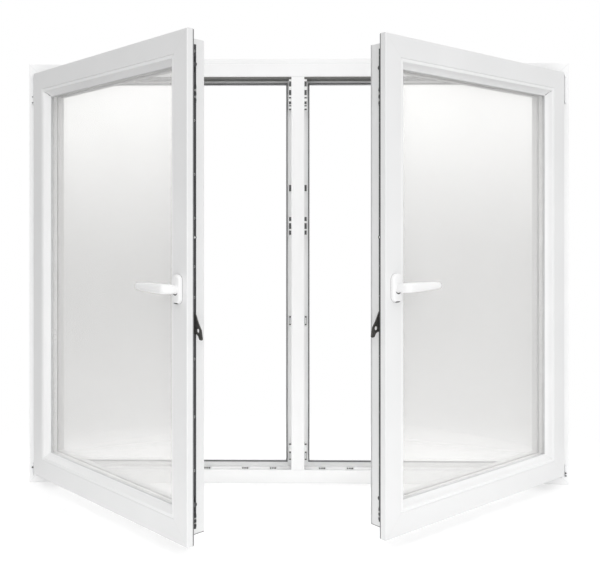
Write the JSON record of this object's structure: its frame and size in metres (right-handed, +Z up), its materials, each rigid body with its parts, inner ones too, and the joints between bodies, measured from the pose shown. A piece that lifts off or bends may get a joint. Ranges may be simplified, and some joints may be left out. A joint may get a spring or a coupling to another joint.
{
  "type": "tilt and turn window",
  "caption": "White two-light tilt and turn window with a fixed mullion; both glazed sashes stand open into the room and carry lever handles.",
  "frame": {"origin": "middle of the sill member's underside, halfway through the frame's depth", "axes": "+X to the right along the sill as seen from the room, +Y from the room to the outside, +Z up"},
  "size_m": [1.8, 0.7214, 1.417],
  "materials": {
    "white_profile": "smooth white window profile, low gloss",
    "white_bead": "smooth white bead",
    "hinge_white": "white hinge covers",
    "handle_white": "powder-coated white, satin gloss",
    "clear_glass": "clear float glass",
    "spacer_metal": "satin spacer bar",
    "frame_seal": "grey seal",
    "sash_seal": "grey seal",
    "glazing_seal": "pale grey seal",
    "dark_zinc": "dark passivated steel",
    "rod_zinc": "grey zinc plate",
    "dark_lever": "dark grey",
    "dark_lining": "matt dark grey lining strip",
    "keep_zinc": "pale zinc"
  },
  "bodies": {
    "window": {"frame_head": "white_profile", "frame_sill": "white_profile", "frame_left_jamb": "white_profile", "frame_right_jamb": "white_profile", "frame_mullion": "white_profile", "head_extension": "white_profile", "head_lining": "dark_lining", "left_frame_gasket": "frame_seal", "left_keeps": "keep_zinc", "left_frame_hinges": "hinge_white", "left_top_rail": "white_profile", "left_bottom_rail": "white_profile", "left_hinge_stile": "white_profile", "left_lock_stile": "white_profile", "left_glazing_beads": "white_bead", "left_sash_gasket": "sash_seal", "left_glazing_gaskets": "glazing_seal", "left_inner_pane": "clear_glass", "left_outer_pane": "clear_glass", "left_glass_spacer": "spacer_metal", "left_faceplates": "dark_zinc", "left_latch_lever": "dark_lever", "left_sash_hinges": "hinge_white", "left_handle_rose": "handle_white", "right_frame_gasket": "frame_seal", "right_keeps": "keep_zinc", "right_frame_hinges": "hinge_white", "right_top_rail": "white_profile", "right_bottom_rail": "white_profile", "right_hinge_stile": "white_profile", "right_lock_stile": "white_profile", "right_glazing_beads": "white_bead", "right_sash_gasket": "sash_seal", "right_glazing_gaskets": "glazing_seal", "right_inner_pane": "clear_glass", "right_outer_pane": "clear_glass", "right_glass_spacer": "spacer_metal", "right_faceplates": "dark_zinc", "right_latch_lever": "dark_lever", "right_sash_hinges": "hinge_white", "right_handle_rose": "handle_white"},
    "left_handle": {"left_handle_lever": "handle_white"},
    "left_drive": {"left_drive_rod": "rod_zinc"},
    "right_handle": {"right_handle_lever": "handle_white"},
    "right_drive": {"right_drive_rod": "rod_zinc"}
  },
  "joints": [
    {"name": "left_handle_turn", "type": "hinge", "parent": "window", "child": "left_handle", "pos_m": [-0.30813, -0.64288, 0.6945], "axis": [-0.7145, -0.6997, 0], "range_deg": [-90, 90]},
    {"name": "left_drive_slide", "type": "slide", "parent": "window", "child": "left_drive", "axis": [0, 0, 1], "range_m": [-0.018, 0.018]},
    {"name": "right_handle_turn", "type": "hinge", "parent": "window", "child": "right_handle", "pos_m": [0.25714, -0.59012, 0.6945], "axis": [0.6494, -0.7604, 0], "range_deg": [-90, 90]},
    {"name": "right_drive_slide", "type": "slide", "parent": "window", "child": "right_drive", "axis": [0, 0, 1], "range_m": [-0.018, 0.018]}
  ],
  "couplings": [
    {"joint": "left_drive_slide", "follows": "left_handle_turn", "m_per_rad": 0.01145},
    {"joint": "right_drive_slide", "follows": "right_handle_turn", "m_per_rad": -0.01145}
  ]
}
